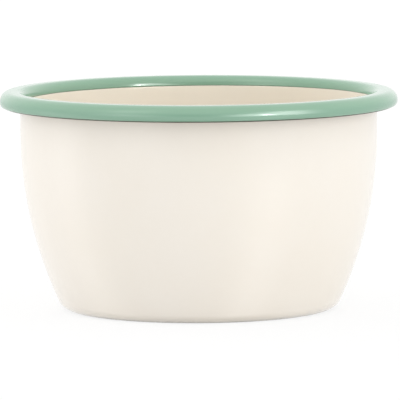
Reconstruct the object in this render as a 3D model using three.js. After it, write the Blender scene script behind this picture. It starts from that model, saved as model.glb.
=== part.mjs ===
// Enamelled steel bowl with a rolled rim: millimetres, +Z up, standing on z = 0 about the Z axis.
// One pressed sheet carries five fused glass coats. All six follow the same section line at
// different depths from the finished outside face, and each is a closed solid of revolution.
import * as THREE from "three";

// Overall sizes, over the coats
const RIM_DIAMETER = 140;
const HEIGHT = 77;

// Rolled rim
const RIM_OVERHANG = 7.25; // from the outside of the wall to the widest point of the roll
const ROLL_HEIGHT = 5.9; // the roll from top to bottom
const ROLL_TOP_RADIUS = 3.6; // from the top down to the widest point; below it the roll is tighter
const NECK_RADIUS = 1.4; // under the roll, where the wall turns outwards
const TUCK_ANGLE = 15; // degrees by which the underside of the roll rises towards the wall
const LIP_GAP = 0.6; // crevice between the lip of the roll and the wall

// Wall and base
const UPRIGHT_WALL = 11.8; // below the neck, before the wall starts to curve in
const BASE_INSET = 18; // from the outside of the upright wall in to the edge of the standing ring
const CORNER_RADIUS = 5.5; // between the wall and the standing ring
const RING_WIDTH = 8; // flat ring that the bowl stands on
const PANEL_RISE = 1; // the base panel is pressed up, clear of the table
const PANEL_BEND_RADIUS = 4; // the two bends between the standing ring and the base panel

// Sheet and coats
const STEEL_SHEET = 0.7;
const GROUND_COAT = 0.1;
const COVER_COAT = 0.2;
const RIM_COAT = 0.2;
const BOND_GAP = 0.02; // between neighbouring layers, so that they stay separate solids

// Green band
const GREEN_LAP = 0.7; // how far the green runs down the inside wall below the neck
const GREEN_STOP = 52; // degrees below level, on the outside of the roll, where the green ends

// Facets round the bowl, and along each bend of the section
const ROUND_FACETS = 40;
const PANEL_BEND_FACETS = 1;
const CORNER_FACETS = 2;
const CURVE_FACETS = 4;
const NECK_FACETS = 3;
const ROLL_TOP_FACETS = 3;
const ROLL_SIDE_FACETS = 2;
const ROLL_UNDER_FACETS = 1;

const { degToRad, radToDeg } = THREE.MathUtils;

// Each layer as its near and far depth below the finished outside face.
function layer(near, thickness) {
  return { near, far: near + thickness };
}
const outerCover = layer(0, COVER_COAT);
const outerGround = layer(outerCover.far + BOND_GAP, GROUND_COAT);
const sheet = layer(outerGround.far + BOND_GAP, STEEL_SHEET);
const innerGround = layer(sheet.far + BOND_GAP, GROUND_COAT);
const innerCover = layer(innerGround.far + BOND_GAP, COVER_COAT);
const rimCover = layer(innerGround.far + BOND_GAP, RIM_COAT);

// A stretch of the section line: at(share, depth) is the point that lies that share of the way along
// it, moved sideways by depth towards the inside of the bowl, which is the outside of the roll.
function straight(from, to) {
  const along = to.clone().sub(from);
  const inward = new THREE.Vector2(-along.y, along.x).normalize();
  const at = (share, depth) =>
    from.clone().addScaledVector(along, share).addScaledVector(inward, depth);
  return { at, facets: 1, length: along.length() };
}

function bend(centre, radius, fromDegrees, toDegrees, facets) {
  const start = degToRad(fromDegrees);
  const sweep = degToRad(toDegrees) - start;
  const at = (share, depth) => {
    const angle = start + sweep * share;
    const reach = radius - Math.sign(sweep) * depth;
    return centre.clone().add(new THREE.Vector2(Math.cos(angle), Math.sin(angle)).multiplyScalar(reach));
  };
  return { at, facets };
}

const point = (radius, height) => new THREE.Vector2(radius, height);

// Radii and heights of the finished outside face
const wallRadius = RIM_DIAMETER / 2 - RIM_OVERHANG;
const ringOuter = wallRadius - BASE_INSET;
const ringInner = ringOuter - RING_WIDTH;
const crownHeight = HEIGHT - rimCover.far;
const neckHeight = crownHeight - NECK_RADIUS;
const lapHeight = neckHeight - GREEN_LAP;
const curveTop = neckHeight - UPRIGHT_WALL;

// The base panel steps up from the standing ring in two equal and opposite bends.
const panelTurn = Math.acos(1 - PANEL_RISE / (2 * PANEL_BEND_RADIUS));
const panelEdge = ringInner - 2 * PANEL_BEND_RADIUS * Math.sin(panelTurn);
const panelTilt = radToDeg(panelTurn);
const panelBendCentre = point(panelEdge, PANEL_RISE - PANEL_BEND_RADIUS);
const ringBendCentre = point(ringInner, PANEL_BEND_RADIUS);

// The curve of the wall is tangent to the upright wall above and to the corner below.
const curveDrop = curveTop - CORNER_RADIUS;
const curveRadius =
  (BASE_INSET ** 2 + curveDrop ** 2 - CORNER_RADIUS ** 2) / (2 * (BASE_INSET - CORNER_RADIUS));
const curveTilt = radToDeg(Math.atan2(curveDrop, curveRadius - BASE_INSET));
const cornerCentre = point(ringOuter, CORNER_RADIUS);
const curveCentre = point(wallRadius - curveRadius, curveTop);

// The wall turns out over the neck, and the roll turns down, under and back towards the wall.
const neckCentre = point(wallRadius + NECK_RADIUS, neckHeight);
const rollUnderRadius = ROLL_HEIGHT - ROLL_TOP_RADIUS;
const widestHeight = HEIGHT - ROLL_TOP_RADIUS;
const topCentre = point(RIM_DIAMETER / 2 - ROLL_TOP_RADIUS, widestHeight);
const underCentre = point(RIM_DIAMETER / 2 - rollUnderRadius, widestHeight);
const topBend = ROLL_TOP_RADIUS - rimCover.far;
const underBend = rollUnderRadius - rimCover.far;
const rollUnder = bend(underCentre, underBend, -GREEN_STOP, -90 - TUCK_ANGLE, ROLL_UNDER_FACETS);

// The underside of the roll runs straight from there to its lip, just short of the wall.
const tuckTurn = degToRad(TUCK_ANGLE);
const lipCoat = BOND_GAP + GROUND_COAT; // over the cut edge of the sheet
const lipReach = innerGround.far * Math.sin(tuckTurn) + lipCoat * Math.cos(tuckTurn);
const tuckStart = rollUnder.at(1, 0);
const tuckRun = tuckStart.x - (wallRadius + LIP_GAP + lipReach);
const lip = point(tuckStart.x - tuckRun, tuckStart.y + tuckRun * Math.tan(tuckTurn));

// The section line in order, from the middle of the base to the lip of the roll
const section = {
  panel: straight(point(0, PANEL_RISE), point(panelEdge, PANEL_RISE)),
  panelBend: bend(panelBendCentre, PANEL_BEND_RADIUS, 90, 90 - panelTilt, PANEL_BEND_FACETS),
  ringBend: bend(ringBendCentre, PANEL_BEND_RADIUS, -90 - panelTilt, -90, PANEL_BEND_FACETS),
  ring: straight(point(ringInner, 0), point(ringOuter, 0)),
  corner: bend(cornerCentre, CORNER_RADIUS, -90, -curveTilt, CORNER_FACETS),
  curve: bend(curveCentre, curveRadius, -curveTilt, 0, CURVE_FACETS),
  upright: straight(point(wallRadius, curveTop), point(wallRadius, lapHeight - BOND_GAP)),
  lap: straight(point(wallRadius, lapHeight), point(wallRadius, neckHeight)),
  neck: bend(neckCentre, NECK_RADIUS, 180, 90, NECK_FACETS),
  crown: straight(point(neckCentre.x, crownHeight), point(topCentre.x, crownHeight)),
  rollTop: bend(topCentre, topBend, 90, 0, ROLL_TOP_FACETS),
  rollSide: bend(underCentre, underBend, 0, -GREEN_STOP, ROLL_SIDE_FACETS),
  rollUnder,
  tuck: straight(tuckStart, lip),
};
const order = Object.keys(section);

// The section line from one named stretch to another, at one depth.
function face(first, last, depth) {
  const names = order.slice(order.indexOf(first), order.indexOf(last) + 1);
  const points = names.flatMap((name) => {
    const { at, facets } = section[name];
    return Array.from({ length: facets }, (_, step) => at(step / facets, depth));
  });
  points.push(section[last].at(1, depth));
  return points;
}

// A layer's closed outline: along its near face, round its end and back along its far face.
function outline(first, last, { near, far }, end = []) {
  const points = [...face(first, last, near), ...end, ...face(first, last, far).reverse()];
  if (first !== "panel") points.push(points[0].clone());
  return points;
}

// The end of the inner ground coat, turned over the cut edge of the sheet.
function lipCover() {
  const { at, length } = section.tuck;
  const clear = 1 + BOND_GAP / length;
  const end = 1 + lipCoat / length;
  return [
    at(clear, innerGround.near),
    at(clear, sheet.near),
    at(end, sheet.near),
    at(end, innerGround.far),
  ];
}

function revolved(name, points, material) {
  const geometry = new THREE.LatheGeometry(points, ROUND_FACETS).rotateX(Math.PI / 2);
  const mesh = new THREE.Mesh(geometry, material);
  mesh.name = name;
  return mesh;
}

function finish(color, roughness, metalness = 0) {
  return new THREE.MeshStandardMaterial({ color, roughness, metalness });
}
const pickledSteel = () => finish(0x8d9093, 0.45, 1);
const darkGround = () => finish(0x34362a, 0.35);
const creamGloss = () => finish(0xeee7dc, 0.12);
const greenGloss = () => finish(0x8db199, 0.1);

const bowl = new THREE.Group();
bowl.add(
  revolved("steel_shell", outline("panel", "tuck", sheet), pickledSteel()),
  revolved("inner_ground_coat", outline("panel", "tuck", innerGround, lipCover()), darkGround()),
  revolved("outer_ground_coat", outline("panel", "upright", outerGround), darkGround()),
  revolved("inner_cream_enamel", outline("panel", "upright", innerCover), creamGloss()),
  revolved("outer_cream_enamel", outline("panel", "upright", outerCover), creamGloss()),
  revolved("rim_green_enamel", outline("lap", "rollSide", rimCover), greenGloss()),
);

export default bowl;
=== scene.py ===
"""Looks of an enamelled steel bowl with a rolled rim, laid out as a Blender add-on.

Metres, +Z up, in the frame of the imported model. The bowl is one pressed sheet under five fused
glass coats. Every layer follows one section line, at its own depth below the finished outside
face, and a Geometry Nodes tree revolves it. The coats get thin, uneven edges, the sheet a slight
waviness, and the enamels a procedural finish.
"""

import math
from collections import namedtuple

import bpy
from bpy.props import FloatProperty, FloatVectorProperty, IntProperty, PointerProperty
from mathutils import Matrix, Vector


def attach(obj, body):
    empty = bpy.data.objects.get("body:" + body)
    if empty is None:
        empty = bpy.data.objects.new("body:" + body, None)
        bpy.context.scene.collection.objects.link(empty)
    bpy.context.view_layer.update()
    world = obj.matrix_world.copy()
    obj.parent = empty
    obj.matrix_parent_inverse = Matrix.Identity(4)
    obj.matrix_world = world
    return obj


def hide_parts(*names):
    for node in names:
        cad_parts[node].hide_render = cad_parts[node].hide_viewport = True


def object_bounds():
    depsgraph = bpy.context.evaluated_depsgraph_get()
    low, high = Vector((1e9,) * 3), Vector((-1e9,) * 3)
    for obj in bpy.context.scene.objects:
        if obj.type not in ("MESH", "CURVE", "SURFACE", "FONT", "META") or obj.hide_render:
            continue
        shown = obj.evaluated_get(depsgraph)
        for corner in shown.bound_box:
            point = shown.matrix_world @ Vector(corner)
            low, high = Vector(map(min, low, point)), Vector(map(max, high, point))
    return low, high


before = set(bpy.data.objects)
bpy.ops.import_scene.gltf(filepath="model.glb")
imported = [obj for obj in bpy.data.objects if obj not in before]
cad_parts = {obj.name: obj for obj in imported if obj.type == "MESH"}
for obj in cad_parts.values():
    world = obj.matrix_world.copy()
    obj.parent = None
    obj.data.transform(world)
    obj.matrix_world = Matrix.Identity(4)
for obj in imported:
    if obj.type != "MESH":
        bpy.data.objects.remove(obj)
CAD_LOW, CAD_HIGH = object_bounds()

bl_info = {
    "name": "Enamel bowl",
    "version": (1, 0, 0),
    "blender": (4, 5, 0),
    "location": "View3D > Sidebar > Bowl",
    "description": "Builds an enamelled steel bowl with a rolled rim, and a white studio for it",
    "category": "Add Mesh",
}

BODY = "root"
MM = 0.001
QUARTER = math.pi / 2
WHITE = (1.0, 1.0, 1.0, 1.0)


# Settings that a user may change


def length(name, description, millimetres):
    """A size, given in millimetres and kept in metres."""
    return FloatProperty(
        name=name, description=description, default=millimetres * MM, min=0.0, precision=5, unit="LENGTH"
    )


def angle(name, description, degrees):
    """An angle, given in degrees."""
    return FloatProperty(name=name, description=description, default=math.radians(degrees), subtype="ANGLE")


def colour(name, description, red, green, blue):
    """A colour, in linear light."""
    return FloatVectorProperty(
        name=name, description=description, default=(red, green, blue), min=0.0, max=1.0, subtype="COLOR"
    )


def factor(name, description, share, highest=1.0):
    """A plain share or strength."""
    return FloatProperty(name=name, description=description, default=share, min=0.0, max=highest)


class BowlSizes(bpy.types.PropertyGroup):
    """Sizes of the sheet and its coats, measured over the finished enamel."""

    rim_diameter: length(
        "Rim diameter", "Across the widest point of the roll", (CAD_HIGH.x - CAD_LOW.x) / MM
    )
    height: length("Height", "From the table to the top of the roll", CAD_HIGH.z / MM)
    rim_overhang: length("Rim overhang", "From the wall to the widest point of the roll", 7.25)
    roll_height: length("Roll height", "The roll from top to bottom", 5.9)
    roll_top_radius: length("Roll top radius", "Of the roll, from its top to its widest point", 3.6)
    neck_radius: length("Neck radius", "Under the roll, where the wall turns outwards", 1.4)
    tuck_angle: angle("Tuck angle", "By which the roll's underside rises towards the wall", 15)
    lip_gap: length("Lip gap", "Crevice between the lip of the roll and the wall", 0.6)
    upright_wall: length("Upright wall", "Below the neck, before the wall curves in", 11.8)
    base_inset: length("Base inset", "From the upright wall in to the standing ring", 18.0)
    corner_radius: length("Corner radius", "Between the wall and the standing ring", 5.5)
    ring_width: length("Ring width", "Flat ring that the bowl stands on", 8.0)
    panel_rise: length("Panel rise", "How far the base panel is pressed up", 1.0)
    panel_bend_radius: length("Panel bend radius", "Between the ring and the base panel", 4.0)
    steel_sheet: length("Steel sheet", "Thickness of the pressed sheet", 0.7)
    ground_coat: length("Ground coat", "Thickness of the dark first coat", 0.1)
    cover_coat: length("Cover coat", "Thickness of the cream coat", 0.2)
    rim_coat: length("Rim coat", "Thickness of the green coat", 0.2)
    bond_gap: length("Bond gap", "Left between neighbouring layers", 0.02)
    green_lap: length("Green lap", "How far the green runs down inside, below the neck", 0.7)
    green_stop: angle("Green stop", "Below level, where the green ends on the roll", 48)
    ground_line: length("Ground line", "Dark line left between the green and the cream inside", 0.02)
    edge_taper: length("Edge taper", "Over which a coat thins out to nothing at its edge", 0.4)
    edge_bead: length("Edge bead", "How much thicker the green is beside its inside edge", 0.07)
    edge_tilt: length("Edge tilt", "By which the green's inside edge rises to the right", 0.28)
    edge_ripple: length("Edge ripple", "Unevenness of the green's inside edge", 0.06)
    stop_ripple: length("Stop ripple", "Unevenness of the green's lower edge on the roll", 0.14)
    sheet_waviness: length("Sheet waviness", "Slow in and out of the drawn wall", 0.05)
    steps_round: IntProperty(name="Steps round", description="Faces round the bowl", default=288, min=24)


class BowlFinishes(bpy.types.PropertyGroup):
    """Colours of the enamels and the sheet."""

    # One cream, kept as two copies that differ only for the light: the outside one is a shade paler and
    # cooler, painted sheen of the white room over the outside wall.
    cream_inside: colour("Cream inside", "Cover coat inside the bowl", 0.863, 0.806, 0.712)
    cream_outside: colour("Cream outside", "Cover coat outside, a shade paler", 0.853, 0.806, 0.740)
    green: colour("Green", "Cover coat of the rim", 0.268, 0.440, 0.320)
    ground: colour("Ground", "Dark first coat", 0.034, 0.037, 0.023)
    steel: colour("Steel", "Pickled sheet under the coats", 0.266, 0.279, 0.291)


class StudioSettings(bpy.types.PropertyGroup):
    """Camera, lamps, floor, and what the gloss mirrors."""

    camera_distance: length("Camera distance", "From the middle of the bowl", 1920.0)
    camera_elevation: angle("Camera elevation", "Above level", 5.85)
    camera_roll: angle("Camera roll", "Clockwise, seen from behind the camera", 0.32)
    camera_aside: length("Camera aside", "How far right of the bowl's axis it points", 0.3)
    camera_aim: length("Camera aim", "Height of the point that it looks at", 38.05)
    focal_pixels: factor("Focal length", "In pixels of the photograph", 5452.0, 20000.0)
    room_light: factor("Room light", "Strength of the even light from all round", 0.975, 4.0)
    level_light: factor("Level light", "How much stronger it is near the level", 0.18, 4.0)
    right_lamp: factor("Right lamp", "Radiance of the softbox at the right front", 1.35, 100.0)
    left_lamp: factor("Left lamp", "Radiance of the softbox at the left", 0.75, 100.0)
    rear_lamp: factor("Rear lamp", "Radiance of the softbox at the left rear", 1.1, 100.0)
    back_lamp: factor("Back lamp", "Radiance of the softbox behind", 1.0, 100.0)
    card_gleam: factor("Card gleam", "Brightness of the card at the right front", 6.5, 100.0)
    strip_gleam: factor("Strip gleam", "Brightness of the low strip at its left", 4.6, 100.0)
    hot_spot: factor("Hot spot", "Brightness of the small lamp far behind the card", 22.0, 100.0)
    floor_gleam: factor("Floor gleam", "Brightness of the pools of light on the floor", 0.9, 100.0)
    floor_shade: factor("Floor shade", "How much of its shade the floor shows", 0.2)


# Section of the bowl

Layer = namedtuple("Layer", "near far")
Ring = namedtuple("Ring", "name share from_start to_end")
Spot = namedtuple("Spot", "place edge_share stop_slide edge_distance mist")

# Steps along each stretch of the section, from the middle of the base to the lip of the roll
STEPS_ALONG = {
    "panel": 6, "panel_bend": 4, "ring_bend": 4, "ring": 3, "corner": 9, "curve": 22, "upright": 6,
    "lap": 2, "neck": 8, "crown": 2, "roll_top": 10, "roll_side": 8, "roll_under": 6, "tuck": 3,
}
EDGE_STEPS = (0.0, 0.05, 0.18, 0.4, 0.7, 1.0)  # shares of the taper at a thin edge
LENGTH_STEPS = 24  # in which the length of a stretch is measured
SLOPE_STEP = 0.001  # share of a stretch, over which its direction is taken
BEAD_MIDDLE = 0.25 * MM  # from the edge of the coat
BEAD_SPREAD = 0.4 * MM
NO_EDGE = 1.0  # distance that stands for no thin edge nearby


def point(radius, height):
    """A point of the section."""
    return Vector((radius, height))


def straight(start, end):
    """A straight stretch: at(share, depth) lies that far along, moved by depth to the bowl's inside."""
    along = end - start
    inward = Vector((-along.y, along.x)).normalized()

    def at(share, depth):
        return start + along * share + inward * depth

    return at


def bend(centre, radius, start, end):
    """A bent stretch about a centre, between two angles."""
    sweep = end - start
    turn = math.copysign(1.0, sweep)

    def at(share, depth):
        where = start + sweep * share
        return centre + Vector((math.cos(where), math.sin(where))) * (radius - turn * depth)

    return at


class Section:
    """Half section of the bowl, from the middle of the base to the lip of the roll."""

    def __init__(self, sizes):
        self.sizes = sizes
        self.outer_cover = Layer(0.0, sizes.cover_coat)
        self.outer_ground = self.under(self.outer_cover, sizes.ground_coat)
        self.sheet = self.under(self.outer_ground, sizes.steel_sheet)
        self.inner_ground = self.under(self.sheet, sizes.ground_coat)
        self.inner_cover = self.under(self.inner_ground, sizes.cover_coat)
        self.rim_cover = self.under(self.inner_ground, sizes.rim_coat)
        self.stretches = self.lay_out()
        self.order = list(self.stretches)

    def under(self, layer, thickness):
        """The next layer below another, clear of it by the bond gap."""
        near = layer.far + self.sizes.bond_gap
        return Layer(near, near + thickness)

    def lay_out(self):
        """The named stretches of the section line, in order."""
        s = self.sizes
        wall = s.rim_diameter / 2 - s.rim_overhang
        ring_outer = wall - s.base_inset
        ring_inner = ring_outer - s.ring_width
        crown = s.height - self.rim_cover.far
        neck = crown - s.neck_radius
        lap = neck - s.green_lap
        curve_top = neck - s.upright_wall

        # The base panel steps up from the standing ring in two equal and opposite bends
        panel_turn = math.acos(1 - s.panel_rise / (2 * s.panel_bend_radius))
        panel_edge = ring_inner - 2 * s.panel_bend_radius * math.sin(panel_turn)
        panel_centre = point(panel_edge, s.panel_rise - s.panel_bend_radius)
        ring_centre = point(ring_inner, s.panel_bend_radius)

        # The curve of the wall is tangent to the upright wall above and to the corner below
        drop = curve_top - s.corner_radius
        inset = s.base_inset - s.corner_radius
        curve_radius = (s.base_inset**2 + drop**2 - s.corner_radius**2) / (2 * inset)
        curve_turn = math.atan2(drop, curve_radius - s.base_inset)
        corner_centre = point(ring_outer, s.corner_radius)
        curve_centre = point(wall - curve_radius, curve_top)

        # The wall turns out over the neck, and the roll turns down, under and back to the wall
        widest = s.height - s.roll_top_radius
        under_radius = s.roll_height - s.roll_top_radius
        top_centre = point(s.rim_diameter / 2 - s.roll_top_radius, widest)
        under_centre = point(s.rim_diameter / 2 - under_radius, widest)
        top_bend = s.roll_top_radius - self.rim_cover.far
        under_bend = under_radius - self.rim_cover.far
        neck_centre = point(wall + s.neck_radius, neck)
        roll_under = bend(under_centre, under_bend, -s.green_stop, -QUARTER - s.tuck_angle)

        # The underside of the roll runs straight to its lip, just short of the wall
        lip_coat = s.bond_gap + s.ground_coat
        lip_reach = self.inner_ground.far * math.sin(s.tuck_angle) + lip_coat * math.cos(s.tuck_angle)
        tuck_start = roll_under(1, 0)
        tuck_run = tuck_start.x - (wall + s.lip_gap + lip_reach)
        lip = tuck_start + point(-tuck_run, tuck_run * math.tan(s.tuck_angle))

        return {
            "panel": straight(point(0, s.panel_rise), point(panel_edge, s.panel_rise)),
            "panel_bend": bend(panel_centre, s.panel_bend_radius, QUARTER, QUARTER - panel_turn),
            "ring_bend": bend(ring_centre, s.panel_bend_radius, -QUARTER - panel_turn, -QUARTER),
            "ring": straight(point(ring_inner, 0), point(ring_outer, 0)),
            "corner": bend(corner_centre, s.corner_radius, -QUARTER, -curve_turn),
            "curve": bend(curve_centre, curve_radius, -curve_turn, 0),
            "upright": straight(point(wall, curve_top), point(wall, lap - s.ground_line)),
            "lap": straight(point(wall, lap), point(wall, neck)),
            "neck": bend(neck_centre, s.neck_radius, math.pi, QUARTER),
            "crown": straight(point(neck_centre.x, crown), point(top_centre.x, crown)),
            "roll_top": bend(top_centre, top_bend, QUARTER, 0),
            "roll_side": bend(under_centre, under_bend, 0, -s.green_stop),
            "roll_under": roll_under,
            "tuck": straight(tuck_start, lip),
        }

    def length(self, name, depth):
        """How long a stretch is at a depth."""
        at = self.stretches[name]
        points = [at(step / LENGTH_STEPS, depth) for step in range(LENGTH_STEPS + 1)]
        return sum((end - start).length for start, end in zip(points, points[1:]))

    def rings(self, first, last, depth, thin_start, thin_end):
        """Where a run of stretches gets its rings of points, closer together at its thin ends."""
        names = self.order[self.order.index(first) : self.order.index(last) + 1]
        lengths = {name: self.length(name, depth) for name in names}
        total = sum(lengths.values())
        passed = 0.0
        rings = []
        for name in names:
            steps = STEPS_ALONG[name]
            shares = {step / steps for step in range(steps)}
            edge_shares = [step * self.sizes.edge_taper / lengths[name] for step in EDGE_STEPS]
            if name == last:
                shares.add(1.0)
            if name == first and thin_start:
                shares.update(edge_shares)
            if name == last and thin_end:
                shares.update(1 - share for share in edge_shares)
            for share in sorted(share for share in shares if 0 <= share <= 1):
                run = passed + share * lengths[name]
                rings.append(Ring(name, share, run, total - run))
            passed += lengths[name]
        return rings

    def along(self, ring):
        """The direction of the section line at a ring."""
        at = self.stretches[ring.name]
        return (at(ring.share + SLOPE_STEP, 0) - at(ring.share - SLOPE_STEP, 0)).normalized()


def fullness(distance, taper):
    """Share of its full thickness that a coat has at a distance from its thin edge."""
    if distance >= taper:
        return 1.0
    return math.sqrt(1 - (1 - max(distance, 0.0) / taper) ** 2)


def no_share(ring):
    """For a layer that has no part in a wander or a mist."""
    return 0.0


def coat_outline(
    section, first, last, layer, shown,
    thin_start=False, thin_end=False, bead=0.0, edge=no_share, stop=no_share, mist=no_share, end=(),
):
    """Closed outline of a layer: out along its far face, round its end and back along its near face.

    shown is the face, near or far, that thins out to meet the other at a thin end, and bead is how
    much thicker the layer is beside its start. edge and stop give the share of a ring in the wander
    of the green's inside and lower edges, and mist how much cream it caught.
    """
    depths = {"near": layer.near, "far": layer.far}
    hidden_depth = depths["far" if shown == "near" else "near"]
    rings = section.rings(first, last, depths[shown], thin_start, thin_end)
    outline = []

    def put(ring, face):
        to_start = ring.from_start if thin_start else math.inf
        from_edge = min(to_start, ring.to_end if thin_end else math.inf)
        depth = hidden_depth
        if face == shown:
            gathered = bead * math.exp(-(((ring.from_start - BEAD_MIDDLE) / BEAD_SPREAD) ** 2))
            thickness = depths[shown] + gathered - hidden_depth
            depth += thickness * fullness(from_edge, section.sizes.edge_taper)
        place = section.stretches[ring.name](ring.share, depth)
        slide = section.along(ring) * stop(ring)
        outline.append(Spot(place, edge(ring), slide, min(from_edge, NO_EDGE), mist(ring)))

    for ring in rings:
        put(ring, "far")
    for place in end:
        outline.append(Spot(place, 0.0, point(0, 0), NO_EDGE, mist(rings[-1])))
    for ring in reversed(rings):
        put(ring, "near")
    if first != "panel":
        put(rings[0], "far")
    return outline


# Node trees

NODES_ACROSS = 12
NODE_PITCH = (190, -230)
Noise = namedtuple("Noise", "scale detail")
Grain = namedtuple("Grain", "scale detail low high to_low to_high", defaults=(0.0, 1.0))


class Wiring:
    """Adds nodes to a tree and joins them up."""

    def __init__(self, tree):
        self.tree = tree

    def add(self, kind, feeds=None, **settings):
        """A node with its settings, each input fed by another node's socket or by a plain value."""
        node = self.tree.nodes.new(kind)
        row, column = divmod(len(self.tree.nodes), NODES_ACROSS)
        node.location = (NODE_PITCH[0] * column, NODE_PITCH[1] * row)
        for name, value in settings.items():
            setattr(node, name, value)
        for key, value in (feeds or {}).items():
            if isinstance(value, bpy.types.NodeSocket):
                self.tree.links.new(value, node.inputs[key])
            else:
                node.inputs[key].default_value = value
        return node

    def out(self, kind, feeds=None, **settings):
        """First output of a new node."""
        return self.add(kind, feeds, **settings).outputs[0]

    def math(self, operation, first, second=0.0, third=0.0):
        """Output of a Math node."""
        return self.out("ShaderNodeMath", {0: first, 1: second, 2: third}, operation=operation)

    def product(self, first, second):
        """Two numbers multiplied."""
        return self.math("MULTIPLY", first, second)

    def plus(self, base, extra, by):
        """A number with another added to it, so many times."""
        return self.math("MULTIPLY_ADD", extra, by, base)

    def vector(self, operation, first, second):
        """Output of a Vector Math node."""
        return self.out("ShaderNodeVectorMath", {0: first, 1: second}, operation=operation)

    def scaled(self, vector, by):
        """A vector times a number."""
        return self.out("ShaderNodeVectorMath", {0: vector, "Scale": by}, operation="SCALE")

    def parts(self, vector):
        """The three numbers of a vector."""
        return self.add("ShaderNodeSeparateXYZ", {0: vector}).outputs

    def upward(self, height):
        """A vector that points up, so long."""
        return self.out("ShaderNodeCombineXYZ", {2: height})

    def noise(self, vector, scale, detail):
        """Even noise from 0 to 1."""
        feeds = {"Vector": vector, "Scale": scale, "Detail": detail}
        return self.out("ShaderNodeTexNoise", feeds, noise_dimensions="3D")

    def span(self, value, low, high, to_low=0.0, to_high=1.0, smooth=False):
        """A value's place between two limits, as a place between two others."""
        feeds = {0: value, 1: low, 2: high, 3: to_low, 4: to_high}
        kind = "SMOOTHSTEP" if smooth else "LINEAR"
        return self.out("ShaderNodeMapRange", feeds, interpolation_type=kind, clamp=True)

    def grain(self, place, grain):
        """Noise of one grain, whose middle range runs between two values."""
        scale, detail, *limits = grain
        return self.span(self.noise(place, scale, detail), *limits)

    def bell(self, value, middle, spread):
        """1 where a value is at the middle, and falling off to both sides of it."""
        away = self.math("DIVIDE", self.math("SUBTRACT", value, middle), spread)
        return self.math("EXPONENT", self.product(self.product(away, away), -0.5))

    def mix(self, share, first, second):
        """A colour between two others."""
        feeds = {0: share, 6: first, 7: second}
        return self.add("ShaderNodeMix", feeds, data_type="RGBA").outputs[2]


def emptied(holder):
    """The wiring of a material or a world, without any nodes."""
    holder.use_nodes = True
    holder.node_tree.nodes.clear()
    return Wiring(holder.node_tree)


def new_object(name, data):
    """A new object in the scene."""
    made = bpy.data.objects.new(name, data)
    bpy.context.scene.collection.objects.link(made)
    return made


REVOLVE_TREE = "Revolve a layer"
REVOLVE_INPUTS = {
    "NodeSocketGeometry": ("Outline",),
    "NodeSocketInt": ("Steps round",),
    "NodeSocketFloat": ("Edge tilt", "Edge ripple", "Stop ripple", "Sheet waviness", "Wall radius"),
    "NodeSocketMaterial": ("Finish",),
}
KEPT_VALUES = ("edge_distance", "mist")  # of the outline, which the finishes read

# Noise of the wandering edges, read on a circle of radius 1, and of the wall, read in place
EDGE_NOISE = Noise(3.0, 2.0)
STOP_NOISE = Noise(7.0, 3.0)
STOP_NOISE_PLACE = (7.0, 3.0, 5.0)
WALL_NOISE = Noise(30.0, 1.0)
WAVE_RADII = (45 * MM, 60 * MM)  # between which the wall's waviness sets in
WELD_DISTANCE = 0.002 * MM
SHARP_TURN = math.radians(50)
FEWEST_FACES = 1000


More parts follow.
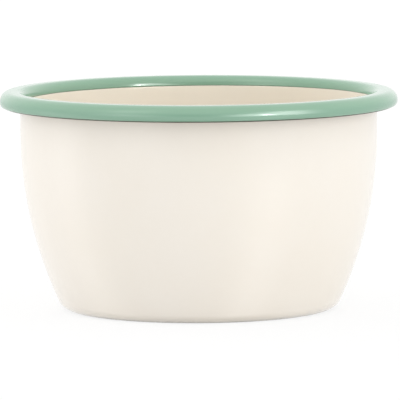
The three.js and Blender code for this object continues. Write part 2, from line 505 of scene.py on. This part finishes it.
def revolve_tree():
    """Tree that revolves a layer's outline about Z, and lets its edges and its wall wander a little."""
    tree = bpy.data.node_groups.new(REVOLVE_TREE, "GeometryNodeTree")
    tree.is_modifier = True
    for kind, names in REVOLVE_INPUTS.items():
        for name in names:
            tree.interface.new_socket(name, in_out="INPUT", socket_type=kind)
    tree.interface.new_socket("Layer", in_out="OUTPUT", socket_type="NodeSocketGeometry")

    wire = Wiring(tree)
    given = wire.add("NodeGroupInput").outputs

    def whole(operation, first, second):
        return wire.out("FunctionNodeIntegerMath", {0: first, 1: second}, operation=operation)

    # A grid with one row for each point of the outline, and one column for each step round
    count = wire.out("GeometryNodeAttributeDomainSize", {0: given["Outline"]}, component="MESH")
    columns = whole("ADD", given["Steps round"], 1)
    grid = wire.out("GeometryNodeMeshGrid", {"Vertices X": count, "Vertices Y": columns})
    index = wire.out("GeometryNodeInputIndex")
    row = whole("DIVIDE_FLOOR", index, columns)
    column = whole("FLOORED_MODULO", index, columns)

    def of_outline(value, kind):
        feeds = {0: given["Outline"], 1: value, 2: row}
        return wire.out("GeometryNodeSampleIndex", feeds, data_type=kind)

    def named(name, kind):
        value = wire.out("GeometryNodeInputNamedAttribute", {0: name}, data_type=kind)
        return of_outline(value, kind)

    place = wire.parts(of_outline(wire.out("GeometryNodeInputPosition"), "FLOAT_VECTOR"))
    slide = wire.parts(named("stop_slide", "FLOAT_VECTOR"))
    edge_share = named("edge_share", "FLOAT")
    kept = {name: named(name, "FLOAT") for name in KEPT_VALUES}

    turn = wire.product(column, wire.math("DIVIDE", 2 * math.pi, given["Steps round"]))
    cosine = wire.math("COSINE", turn)
    outward = wire.out("ShaderNodeCombineXYZ", {0: cosine, 1: wire.math("SINE", turn)})

    def wander(vector, noise, amount):
        both_ways = wire.math("MULTIPLY_ADD", wire.noise(vector, *noise), 2.0, -1.0)
        return wire.product(both_ways, amount)

    # The green's inside edge rises to the right, and both its edges are uneven
    edge_tilt = wire.product(cosine, given["Edge tilt"])
    edge_wave = wire.math("ADD", edge_tilt, wander(outward, EDGE_NOISE, given["Edge ripple"]))
    stop_place = wire.vector("ADD", outward, STOP_NOISE_PLACE)
    stop_wave = wander(stop_place, STOP_NOISE, given["Stop ripple"])

    # All layers share the wall's waviness, which fades out towards the middle of the base
    wall_place = wire.vector("ADD", wire.scaled(outward, given["Wall radius"]), wire.upward(place[2]))
    wall_wave = wander(wall_place, WALL_NOISE, given["Sheet waviness"])
    wall_share = wire.span(place[0], *WAVE_RADII, smooth=True)

    radius = wire.plus(place[0], slide[0], stop_wave)
    radius = wire.plus(radius, wall_wave, wall_share)
    height = wire.plus(place[2], slide[2], stop_wave)
    height = wire.plus(height, edge_share, edge_wave)
    position = wire.vector("ADD", wire.scaled(outward, radius), wire.upward(height))
    layer = grid

    def onward(kind, feeds=None, **settings):
        nonlocal layer
        layer = wire.out(kind, {"Geometry": layer, **(feeds or {})}, **settings)

    onward("GeometryNodeSetPosition", {"Position": position})
    for name, value in kept.items():
        feeds = {"Name": name, "Value": value}
        onward("GeometryNodeStoreNamedAttribute", feeds, data_type="FLOAT", domain="POINT")
    onward("GeometryNodeMergeByDistance", {"Distance": WELD_DISTANCE})

    # Smooth all over, but for the sharp turns at the ends of a layer
    feeds = {0: wire.out("GeometryNodeInputMeshEdgeAngle"), 1: SHARP_TURN}
    sharp = wire.out("FunctionNodeCompare", feeds, data_type="FLOAT", operation="GREATER_THAN")
    onward("GeometryNodeSetShadeSmooth", {"Shade Smooth": True}, domain="FACE")
    onward("GeometryNodeSetShadeSmooth", {"Selection": sharp, "Shade Smooth": False}, domain="EDGE")
    onward("GeometryNodeRealizeInstances")
    onward("GeometryNodeSetMaterial", {"Material": given["Finish"]})
    wire.add("NodeGroupOutput", {0: layer})
    return tree


def revolved(name, outline, finish, sizes):
    """A layer's outline as a plain closed mesh of revolution."""
    mesh = bpy.data.meshes.new(name)
    mesh.from_pydata([(spot.place.x, 0.0, spot.place.y) for spot in outline], [], [])
    for label in ("edge_share", *KEPT_VALUES):
        values = [getattr(spot, label) for spot in outline]
        mesh.attributes.new(label, "FLOAT", "POINT").data.foreach_set("value", values)
    slides = [x for spot in outline for x in (spot.stop_slide.x, 0.0, spot.stop_slide.y)]
    mesh.attributes.new("stop_slide", "FLOAT_VECTOR", "POINT").data.foreach_set("vector", slides)

    piece = new_object(name, mesh)
    tree = bpy.data.node_groups.get(REVOLVE_TREE) or revolve_tree()
    modifier = piece.modifiers.new("Revolve", "NODES")
    modifier.node_group = tree
    given = {
        "Steps round": sizes.steps_round,
        "Edge tilt": sizes.edge_tilt,
        "Edge ripple": sizes.edge_ripple,
        "Stop ripple": sizes.stop_ripple,
        "Sheet waviness": sizes.sheet_waviness,
        "Wall radius": sizes.rim_diameter / 2 - sizes.rim_overhang,
        "Finish": finish,
    }
    for item in tree.interface.items_tree:
        if item.in_out == "INPUT" and item.name in given:
            modifier[item.identifier] = given[item.name]

    depsgraph = bpy.context.evaluated_depsgraph_get()
    made = bpy.data.meshes.new_from_object(
        piece.evaluated_get(depsgraph), preserve_all_data_layers=True, depsgraph=depsgraph
    )
    piece.modifiers.clear()
    piece.data = made
    bpy.data.meshes.remove(mesh)
    made.name = name
    if len(made.polygons) < FEWEST_FACES:
        raise RuntimeError(f"{name} was not revolved")
    return piece


def set_in_frame(piece, node):
    """Puts a finished piece in the place of its CAD node."""
    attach(piece, BODY)
    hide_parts(node)


# Finishes

# Painted shade low on the green roll: the heights between which the tone darkens downwards, and the darker
# colour
Drained = namedtuple("Drained", "low high rgb")

# Tone of a cover coat
DRIFT = Grain(24.0, 3.0, 0.3, 0.7)
MOTTLE = Grain(520.0, 2.0, 0.35, 0.7, 0.0, 0.12)
MOTTLE_SHADE = 0.97

# Dark ground that shows through a cover coat's thin edge, and how far from the edge
RAGGED_REACH = Grain(900.0, 2.0, 0.3, 0.7, 0.12 * MM, 0.4 * MM)
EDGE_DARKNESS = 0.15

# Specks, sized in shares of the cells that they lie in
SPECK_CELLS = 110.0
SPECK_RARITY = 0.93
SPECK_RADII = (0.012, 0.024)
SPECK_SHARE = 0.7
SPECK_SHADE = 1.4

# Gloss and relief of a cover coat
GLOSS = Grain(60.0, 3.0, 0.3, 0.7, 0.8, 1.25)
PEEL_NOISE = Noise(620.0, 1.0)
FLOW_NOISE = Noise(85.0, 1.0)
FLOW_WEIGHT = 6.0
COVER_RELIEF = {"Strength": 0.35, "Distance": 0.012 * MM}
COVER_IOR = 1.53

# Painted contact shade: a dark line round the outside of the standing ring, where the bowl meets the floor,
# which also dulls the gloss there
RUB_INSIDE = 1.6 * MM
RUB_OUTSIDE = 0.8 * MM
RUB_LEAST = 0.1
RUB_HEIGHTS = (0.05 * MM, 0.9 * MM)
SCUFFS = Grain(1400.0, 4.0, 0.42, 0.62, 0.5, 1.0)
RUB_SHARE = 0.65
RUB_SHADE = 4.0
RUB_ROUGHNESS = 0.35

# Ground coat
GROUND_MOTTLE = Grain(380.0, 4.0, 0.35, 0.7)
GROUND_SHADE = 1.9
GROUND_ROUGHNESS = (0.45, 0.6)
GROUND_BUBBLES = 1500.0
GROUND_RELIEF = {"Strength": 0.3, "Distance": 0.02 * MM}
GROUND_IOR = 1.3
MIST_SHARE = 0.33

# Pickled sheet
STEEL_CLOUDS = Grain(70.0, 5.0, 0.3, 0.7)
STEEL_SHADES = (0.8, 1.15)
ETCH_NOISE = Noise(2400.0, 3.0)
ETCH_RANGE = (0.3, 0.7)
STEEL_ROUGHNESS = (0.38, 0.56)
STEEL_RELIEF = {"Strength": 0.25, "Distance": 0.01 * MM}


def new_finish(name):
    """A new material with its wiring, its surface shader and the place on the piece."""
    material = bpy.data.materials.new(name)
    wire = emptied(material)
    shader = wire.add("ShaderNodeBsdfPrincipled")
    wire.add("ShaderNodeOutputMaterial", {"Surface": shader.outputs[0]})
    place = wire.add("ShaderNodeTexCoord").outputs["Object"]
    return material, wire, shader, place


def dress(wire, shader, tone, gloss, height, relief):
    """Feeds a surface shader with its colour, its roughness and its relief."""
    bump = wire.out("ShaderNodeBump", {"Height": height, **relief})
    feeds = {"Base Color": tone, "Roughness": gloss, "Normal": bump}
    for name, socket in feeds.items():
        wire.tree.links.new(socket, shader.inputs[name])


def opaque(rgb, by=1.0):
    """A colour with its fourth value, made lighter or darker."""
    return (*[min(1.0, x * by) for x in rgb], 1.0)


def tinted(rgb, tint):
    """A colour times another."""
    return tuple(x * y for x, y in zip(rgb, tint))


def thin_edge(wire, place):
    """How much of the dark ground shows through a coat's ragged edge."""
    distance = wire.add("ShaderNodeAttribute", attribute_name="edge_distance").outputs["Fac"]
    reach = wire.grain(place, RAGGED_REACH)
    thin = wire.math("SUBTRACT", 1.0, wire.math("DIVIDE", distance, reach))
    return wire.span(thin, 0.0, 1.0, 0.0, EDGE_DARKNESS, smooth=True)


def specks(wire, place):
    """1 in the few small specks that are fired into a coat, and 0 between them."""
    cells = wire.add("ShaderNodeTexVoronoi", {"Vector": place, "Scale": SPECK_CELLS}, feature="F1").outputs
    chosen = wire.math("GREATER_THAN", wire.parts(cells["Color"])[0], SPECK_RARITY)
    return wire.product(wire.span(cells["Distance"], *SPECK_RADII, 1.0, 0.0), chosen)


def rubbing(wire, place, worn_radius):
    """Painted contact shade where the bowl stands, from 0 to 1: darkest low on the outside of the standing
    ring, where it meets the floor; the same share dulls the gloss.
    """
    parts = wire.parts(place)
    radius = wire.math("SQRT", wire.plus(wire.product(parts[1], parts[1]), parts[0], parts[0]))
    inner, outer = worn_radius - RUB_INSIDE, worn_radius + RUB_OUTSIDE
    outward = wire.span(radius, inner, outer, RUB_LEAST, 1.0, smooth=True)
    low = wire.span(parts[2], *RUB_HEIGHTS, 1.0, 0.0, smooth=True)
    return wire.product(wire.product(outward, low), wire.grain(place, SCUFFS))


def enamel(name, rgb, ground, deep, roughness, worn_radius=None, drained=None):
    """Fused gloss enamel: slow changes of tone, thin dark edges, a few specks and a faint orange peel;
    where asked, painted shade low on the roll and painted contact shade at the foot.
    """
    material, wire, shader, place = new_finish(name)

    # Tone drifts with the thickness of the coat, and is faintly mottled close to
    tone = wire.mix(wire.grain(place, DRIFT), opaque(rgb), opaque(deep))
    mottle = wire.grain(place, MOTTLE)
    tone = wire.mix(mottle, tone, opaque(deep, MOTTLE_SHADE))
    # Painted shade: the tone darkens downwards low on the roll, which faces away from the light
    if drained:
        height = wire.parts(place)[2]
        share = wire.span(height, drained.low, drained.high, 1.0, 0.0, smooth=True)
        tone = wire.mix(share, tone, opaque(drained.rgb))

    tone = wire.mix(thin_edge(wire, place), tone, opaque(ground))
    speck = wire.product(specks(wire, place), SPECK_SHARE)
    tone = wire.mix(speck, tone, opaque(ground, SPECK_SHADE))

    gloss = wire.product(wire.grain(place, GLOSS), roughness)
    if worn_radius:
        rubbed = rubbing(wire, place, worn_radius)
        # Painted contact shade: the foot turns dark grey where it meets the floor, and its gloss is dulled
        tone = wire.mix(wire.product(rubbed, RUB_SHARE), tone, opaque(ground, RUB_SHADE))
        gloss = wire.plus(gloss, rubbed, RUB_ROUGHNESS)

    peel = wire.noise(place, *PEEL_NOISE)
    flow = wire.noise(place, *FLOW_NOISE)
    dress(wire, shader, tone, gloss, wire.plus(peel, flow, FLOW_WEIGHT), COVER_RELIEF)
    shader.inputs["IOR"].default_value = COVER_IOR
    return material


def ground_enamel(rgb, cream):
    """Dark first coat: mottled, with fine bubbles and a duller gloss, and misted with cream in places."""
    material, wire, shader, place = new_finish("dark_ground_enamel")
    mottle = wire.grain(place, GROUND_MOTTLE)
    tone = wire.mix(mottle, opaque(rgb), opaque(rgb, GROUND_SHADE))
    mist = wire.add("ShaderNodeAttribute", attribute_name="mist").outputs["Fac"]
    tone = wire.mix(wire.product(mist, MIST_SHARE), tone, opaque(cream))
    gloss = wire.span(mottle, 0.0, 1.0, *GROUND_ROUGHNESS)
    feeds = {"Vector": place, "Scale": GROUND_BUBBLES}
    bubbles = wire.add("ShaderNodeTexVoronoi", feeds, feature="F1").outputs["Distance"]
    dress(wire, shader, tone, gloss, bubbles, GROUND_RELIEF)
    shader.inputs["IOR"].default_value = GROUND_IOR
    return material


def pickled_steel(rgb):
    """Bare sheet as it left the pickling bath: dull grey, cloudy and finely etched."""
    material, wire, shader, place = new_finish("pickled_steel")
    dark, light = STEEL_SHADES
    tone = wire.mix(wire.grain(place, STEEL_CLOUDS), opaque(rgb, dark), opaque(rgb, light))
    etch = wire.noise(place, *ETCH_NOISE)
    gloss = wire.span(etch, *ETCH_RANGE, *STEEL_ROUGHNESS)
    dress(wire, shader, tone, gloss, etch, STEEL_RELIEF)
    shader.inputs["Metallic"].default_value = 1.0
    return material


# Pieces

MIST_START = 1 / 3  # share of the roll's underside, from the green, that stays clear of cream
MIST_FULL = 2 / 3
CREAM_ROUGHNESS = 0.12
CREAM_DEEP = (0.985, 0.975, 0.955)
FOLLOW_LENGTH = 8 * MM  # of the cream, below the green's edge, that wanders with it
GREEN_ROUGHNESS = 0.1
GREEN_DEEP = (0.9, 0.95, 0.93)
# Painted shade low on the roll: the green darkens downwards from 2.2 mm to 0.3 mm above the widest point
GREEN_DRAINED = (0.855, 0.9, 0.91)
DRAINED_HEIGHTS = (0.3 * MM, 2.2 * MM)  # above the widest point of the roll
STOP_START = 0.5  # share of the roll's side, from which it wanders with the green's lower edge


class BOWL_OT_steel_shell(bpy.types.Operator):
    """Build the pressed sheet: base, wall and hollow rolled rim"""

    bl_idname = "bowl.steel_shell"
    bl_label = "Steel shell"

    def execute(self, context):
        sizes = context.scene.bowl_sizes
        section = Section(sizes)
        finish = pickled_steel(context.scene.bowl_finishes.steel)
        outline = coat_outline(section, "panel", "tuck", section.sheet, "far")
        piece = revolved("pressed_sheet", outline, finish, sizes)
        set_in_frame(piece, "steel_shell")
        return {"FINISHED"}


class BOWL_OT_ground_coats(bpy.types.Operator):
    """Build the two dark ground coats, the inner one turned over the lip of the roll"""

    bl_idname = "bowl.ground_coats"
    bl_label = "Ground coats"

    def execute(self, context):
        sizes, finishes = context.scene.bowl_sizes, context.scene.bowl_finishes
        section = Section(sizes)
        finish = ground_enamel(finishes.ground, finishes.cream_outside)

        def caught(ring):
            """The cream was sprayed on from outside, so the underside of the roll caught some of it."""
            if ring.name == "roll_under":
                return min(1.0, max(0.0, (ring.share - MIST_START) / (MIST_FULL - MIST_START)))
            return 1.0 if ring.name == "tuck" else 0.0

        lip = self.lip_cover(section)
        inner = coat_outline(section, "panel", "tuck", section.inner_ground, "far", mist=caught, end=lip)
        outer = coat_outline(section, "panel", "upright", section.outer_ground, "near")
        inside = revolved("inside_ground", inner, finish, sizes)
        outside = revolved("outside_ground", outer, finish, sizes)
        set_in_frame(inside, "inner_ground_coat")
        set_in_frame(outside, "outer_ground_coat")
        return {"FINISHED"}

    def lip_cover(self, section):
        """The end of the inner ground coat, turned over the cut edge of the sheet."""
        sizes = section.sizes
        tuck = section.stretches["tuck"]
        run = section.length("tuck", 0)
        clear = 1 + sizes.bond_gap / run
        end = 1 + (sizes.bond_gap + sizes.ground_coat) / run
        return [
            tuck(end, section.inner_ground.far),
            tuck(end, section.sheet.near),
            tuck(clear, section.sheet.near),
            tuck(clear, section.inner_ground.near),
        ]


class BOWL_OT_cream_coats(bpy.types.Operator):
    """Build the cream cover coats, inside and outside the bowl"""

    bl_idname = "bowl.cream_coats"
    bl_label = "Cream coats"

    def execute(self, context):
        sizes, finishes = context.scene.bowl_sizes, context.scene.bowl_finishes
        section = Section(sizes)

        def cream(name, rgb, worn_radius=None):
            deep = tinted(rgb, CREAM_DEEP)
            return enamel(name, rgb, finishes.ground, deep, CREAM_ROUGHNESS, worn_radius)

        def follow_green(ring):
            return max(0.0, 1 - ring.to_end / FOLLOW_LENGTH)

        ring_edge = sizes.rim_diameter / 2 - sizes.rim_overhang - sizes.base_inset
        # Two copies of one cream; the outside one is paler, painted sheen.
        inside_finish = cream("cream_enamel_inside", finishes.cream_inside)
        # The outside cream gets painted contact shade round the outer edge of the standing ring
        outside_finish = cream("cream_enamel_outside", finishes.cream_outside, ring_edge)
        inner = coat_outline(
            section, "panel", "upright", section.inner_cover, "far", thin_end=True, edge=follow_green
        )
        outer = coat_outline(section, "panel", "upright", section.outer_cover, "near", thin_end=True)
        inside = revolved("inside_cream", inner, inside_finish, sizes)
        outside = revolved("outside_cream", outer, outside_finish, sizes)
        set_in_frame(inside, "inner_cream_enamel")
        set_in_frame(outside, "outer_cream_enamel")
        return {"FINISHED"}


class BOWL_OT_green_rim(bpy.types.Operator):
    """Build the green cover coat over the rolled rim"""

    bl_idname = "bowl.green_rim"
    bl_label = "Green rim"

    def execute(self, context):
        sizes, finishes = context.scene.bowl_sizes, context.scene.bowl_finishes
        section = Section(sizes)
        green = finishes.green
        widest = sizes.height - sizes.roll_top_radius
        # Painted shade: the green is darker low on the roll, which faces down, away from the light
        drained = Drained(*[widest + height for height in DRAINED_HEIGHTS], tinted(green, GREEN_DRAINED))
        deep = tinted(green, GREEN_DEEP)
        finish = enamel("green_enamel", green, finishes.ground, deep, GREEN_ROUGHNESS, drained=drained)

        def inside_edge(ring):
            return 1 - ring.share if ring.name == "lap" else 0.0

        def lower_edge(ring):
            share = (ring.share - STOP_START) / (1 - STOP_START)
            return max(0.0, share) if ring.name == "roll_side" else 0.0

        outline = coat_outline(
            section, "lap", "roll_side", section.rim_cover, "far",
            thin_start=True, thin_end=True, bead=sizes.edge_bead, edge=inside_edge, stop=lower_edge,
        )
        piece = revolved("green_rim", outline, finish, sizes)
        set_in_frame(piece, "rim_green_enamel")
        return {"FINISHED"}


# Studio

PHOTO_SIDE = 400
SENSOR_WIDTH = 36.0
CAMERA_REACH = 100.0

FLOOR_CORNERS = 96
FLOOR_RADIUS = 6.0
FLOOR_DROP = 0.02 * MM  # below the standing ring, so that the two faces don't meet
FLOOR_COLOUR = (0.85, 0.85, 0.845, 1.0)
FLOOR_WHITE = 1.025

# Softboxes, by their angle from the camera's side, to the right
LAMPS = {"right_lamp": 60, "left_lamp": -90, "rear_lamp": -128, "back_lamp": 180}
LAMP_RISE = math.radians(18)
LAMP_DISTANCE = 1.8
LAMP_SIZE = (1.4, 1.0)

# The bright card, by its two upright edges, and its lit areas, by their place along X and where
# they fade out upwards. Both fade in at its foot.
CARD_LEFT = (20 * MM, -199.8 * MM)
CARD_RIGHT = (160 * MM, -66.2 * MM)
CARD_HEIGHTS = (50 * MM, 190 * MM)
CARD_FOOT = (62 * MM, 74 * MM)
Area = namedtuple("Area", "middle spread fade")
CARD_AREAS = {
    "card_gleam": Area(104 * MM, 18 * MM, (114 * MM, 165 * MM)),
    "strip_gleam": Area(68 * MM, 17 * MM, (98 * MM, 118 * MM)),
}

# What gloss mirrors of the room, in degrees to the right of the camera and above level: patches that
# are brighter or darker, pools of light on the floor that fade out upwards, and a room that is a little
# brighter behind the bowl and darker below it
Gleam = namedtuple("Gleam", "azimuth width elevation height")
HOT_SPOT = Gleam(40, 2.6, 7, 3.5)
HIGH_FILL = Gleam(-49, 12, 44, 15)
LOW_FILL = Gleam(-40, 13, 6, 7)
FRONT_GAP = Gleam(-11, 20, 13, 9)
STRENGTHS = {HIGH_FILL: 1.4, LOW_FILL: 1.8, FRONT_GAP: -1.0}
Pool = namedtuple("Pool", "azimuth width fade full")
POOLS = (Pool(-95, 11, (-5, 5), 0.7), Pool(48, 14, (-18, -6), 1.0))
BEHIND = (110, 150)
BEHIND_RISE = (-2, 8)
BEHIND_GLEAM = 0.16
BELOW = (-80, -50)
BELOW_SHADE = 0.7


class BOWL_OT_studio(bpy.types.Operator):
    """Build the white floor, the lamps, the room that gloss mirrors and the camera"""

    bl_idname = "bowl.studio"
    bl_label = "Studio"

    def execute(self, context):
        studio = context.scene.bowl_studio
        middle = Vector((0.0, 0.0, context.scene.bowl_sizes.height / 2))
        self.floor(studio)
        self.card(studio)
        self.room(context.scene, studio)
        for name, azimuth in LAMPS.items():
            self.lamp(name, middle, math.radians(azimuth), getattr(studio, name))
        self.camera(context.scene, studio)
        context.scene.view_settings.view_transform = "Standard"
        return {"FINISHED"}

    def stage_piece(self, name, finish, corners):
        """A flat piece of the stage with an empty material, and the material's wiring."""
        mesh = bpy.data.meshes.new(name)
        mesh.from_pydata(corners, [], [range(len(corners))])
        material = bpy.data.materials.new(finish)
        mesh.materials.append(material)
        return new_object(name, mesh), emptied(material)

    def seen_straight(self, wire, path):
        """1 for what the camera sees, straight or through glass, and 0 for light on a surface."""
        return wire.math("MAXIMUM", path["Is Camera Ray"], path["Is Transmission Ray"])

    def floor(self, studio):
        """A wide pale floor that keeps part of the bowl's shadow."""
        turns = [2 * math.pi * step / FLOOR_CORNERS for step in range(FLOOR_CORNERS)]
        corners = [
            (FLOOR_RADIUS * math.cos(turn), FLOOR_RADIUS * math.sin(turn), -FLOOR_DROP) for turn in turns
        ]
        floor, wire = self.stage_piece("floor", "pale_floor", corners)
        matt = wire.out("ShaderNodeBsdfDiffuse", {"Color": FLOOR_COLOUR})
        white = wire.out("ShaderNodeEmission", {"Color": WHITE, "Strength": FLOOR_WHITE})
        seen = self.seen_straight(wire, wire.add("ShaderNodeLightPath").outputs)
        share = wire.product(seen, 1 - studio.floor_shade)
        surface = wire.out("ShaderNodeMixShader", {0: share, 1: matt, 2: white})
        wire.add("ShaderNodeOutputMaterial", {"Surface": surface})
        floor.visible_glossy = False

    def card(self, studio):
        """A clear card with two lit areas, just out of the picture, which only gloss sees."""
        low, high = CARD_HEIGHTS
        corners = [(*CARD_LEFT, low), (*CARD_RIGHT, low), (*CARD_RIGHT, high), (*CARD_LEFT, high)]
        card, wire = self.stage_piece("bright_card", "bright_card", corners)
        place = wire.parts(wire.add("ShaderNodeTexCoord").outputs["Object"])
        foot = wire.span(place[2], *CARD_FOOT, smooth=True)
        gleam = 0.0
        for name, area in CARD_AREAS.items():
            across = wire.bell(place[0], area.middle, area.spread)
            top = wire.span(place[2], *area.fade, smooth=True)
            lit = wire.product(across, wire.math("SUBTRACT", foot, top))
            gleam = wire.plus(gleam, lit, getattr(studio, name))
        glow = wire.out("ShaderNodeEmission", {"Color": WHITE, "Strength": gleam})
        clear = wire.out("ShaderNodeBsdfTransparent")
        surface = wire.out("ShaderNodeAddShader", {0: glow, 1: clear})
        wire.add("ShaderNodeOutputMaterial", {"Surface": surface})
        card.data.materials[0].cycles.emission_sampling = "NONE"
        card.visible_camera = False
        card.visible_diffuse = False
        card.visible_transmission = False
        card.visible_shadow = False

    def room(self, scene, studio):
        """A white room that gives most of its light from near the level, and that gloss mirrors."""
        world = bpy.data.worlds.new("white_room")
        wire = emptied(world)
        toward = wire.parts(wire.add("ShaderNodeTexCoord").outputs["Generated"])
        level = wire.math("SUBTRACT", 1.0, wire.math("ABSOLUTE", toward[2]))
        light = wire.plus(studio.room_light, wire.product(level, level), studio.level_light)
        mirrored = self.mirrored_room(wire, toward, studio)

        path = wire.add("ShaderNodeLightPath").outputs
        strength = wire.plus(light, self.seen_straight(wire, path), wire.math("SUBTRACT", 1.0, light))
        strength = wire.plus(strength, path["Is Glossy Ray"], wire.math("SUBTRACT", mirrored, strength))
        back = wire.out("ShaderNodeBackground", {"Color": WHITE, "Strength": strength})
        wire.add("ShaderNodeOutputWorld", {"Surface": back})
        scene.world = world

    def mirrored_room(self, wire, toward, studio):
        """How bright gloss shows the room in a direction: white, with lamps, fills and the lit floor."""
        azimuth = wire.math("ARCTAN2", toward[0], wire.product(toward[1], -1.0))
        elevation = wire.math("ARCSINE", toward[2])

        def bell(value, middle, spread):
            return wire.bell(value, math.radians(middle), math.radians(spread))

        def rising(value, start, end):
            return wire.span(value, math.radians(start), math.radians(end), smooth=True)

        def patch(gleam):
            across = bell(azimuth, gleam.azimuth, gleam.width)
            return wire.product(across, bell(elevation, gleam.elevation, gleam.height))

        mirrored = wire.plus(1.0, patch(HOT_SPOT), studio.hot_spot)
        for gleam, strength in STRENGTHS.items():
            mirrored = wire.plus(mirrored, patch(gleam), strength)
        for pool in POOLS:
            low = wire.math("SUBTRACT", pool.full, rising(elevation, *pool.fade))
            lit = wire.product(bell(azimuth, pool.azimuth, pool.width), low)
            mirrored = wire.plus(mirrored, wire.math("MAXIMUM", lit, 0.0), studio.floor_gleam)
        behind = rising(wire.math("ABSOLUTE", azimuth), *BEHIND)
        behind = wire.product(behind, rising(elevation, *BEHIND_RISE))
        mirrored = wire.plus(mirrored, behind, BEHIND_GLEAM)
        below = wire.math("SUBTRACT", 1.0, rising(elevation, *BELOW))
        return wire.plus(mirrored, below, -BELOW_SHADE)

    def lamp(self, name, middle, turn, radiance):
        """A softbox that faces the bowl, a little above level, seen only by the light that it gives."""
        level = Vector((math.sin(turn), -math.cos(turn), 0.0)) * math.cos(LAMP_RISE)
        away = level + Vector((0.0, 0.0, math.sin(LAMP_RISE)))
        light = bpy.data.lights.new(name, "AREA")
        light.shape = "RECTANGLE"
        light.size, light.size_y = LAMP_SIZE
        light.energy = radiance * math.pi * light.size * light.size_y
        lamp = new_object(name, light)
        lamp.location = middle + away * LAMP_DISTANCE
        lamp.rotation_mode = "QUATERNION"
        lamp.rotation_quaternion = away.to_track_quat("Z", "Y")
        lamp.visible_camera = False
        lamp.visible_glossy = False

    def camera(self, scene, studio):
        """The photograph's view: a long lens a little above the rim, and slightly tilted."""
        data = bpy.data.cameras.new("camera")
        data.sensor_width = SENSOR_WIDTH
        data.lens = studio.focal_pixels / PHOTO_SIDE * SENSOR_WIDTH
        data.clip_end = CAMERA_REACH
        rise = studio.camera_elevation
        back = Vector((0.0, -math.cos(rise), math.sin(rise)))
        aim = Vector((studio.camera_aside, 0.0, studio.camera_aim))
        stand = Matrix.Translation(aim + back * studio.camera_distance)
        looking = (-back).to_track_quat("-Z", "Y").to_matrix().to_4x4()
        camera = new_object("camera", data)
        camera.matrix_world = stand @ looking @ Matrix.Rotation(-studio.camera_roll, 4, "Z")
        scene.camera = camera


class BOWL_PT_panel(bpy.types.Panel):
    """Lists the bowl's pieces and settings in the sidebar"""

    bl_idname = "BOWL_PT_panel"
    bl_label = "Enamel bowl"
    bl_space_type = "VIEW_3D"
    bl_region_type = "UI"
    bl_category = "Bowl"

    def draw(self, context):
        for operator in OPERATORS:
            self.layout.operator(operator.bl_idname)
        for settings, group in SETTINGS.items():
            box = self.layout.box()
            for name in group.__annotations__:
                box.prop(getattr(context.scene, settings), name)


LAYERS = (BOWL_OT_steel_shell, BOWL_OT_ground_coats, BOWL_OT_cream_coats, BOWL_OT_green_rim)
OPERATORS = (*LAYERS, BOWL_OT_studio)
CLASSES = (BowlSizes, BowlFinishes, StudioSettings, *OPERATORS, BOWL_PT_panel)
SETTINGS = {"bowl_sizes": BowlSizes, "bowl_finishes": BowlFinishes, "bowl_studio": StudioSettings}


def register():
    for cls in CLASSES:
        bpy.utils.register_class(cls)
    for name, group in SETTINGS.items():
        setattr(bpy.types.Scene, name, PointerProperty(type=group))


def unregister():
    for name in SETTINGS:
        delattr(bpy.types.Scene, name)
    for cls in reversed(CLASSES):
        bpy.utils.unregister_class(cls)


def main():
    register()
    bpy.ops.bowl.steel_shell()
    bpy.ops.bowl.ground_coats()
    bpy.ops.bowl.cream_coats()
    bpy.ops.bowl.green_rim()
    bpy.ops.bowl.studio()


if __name__ == "__main__":
    main()
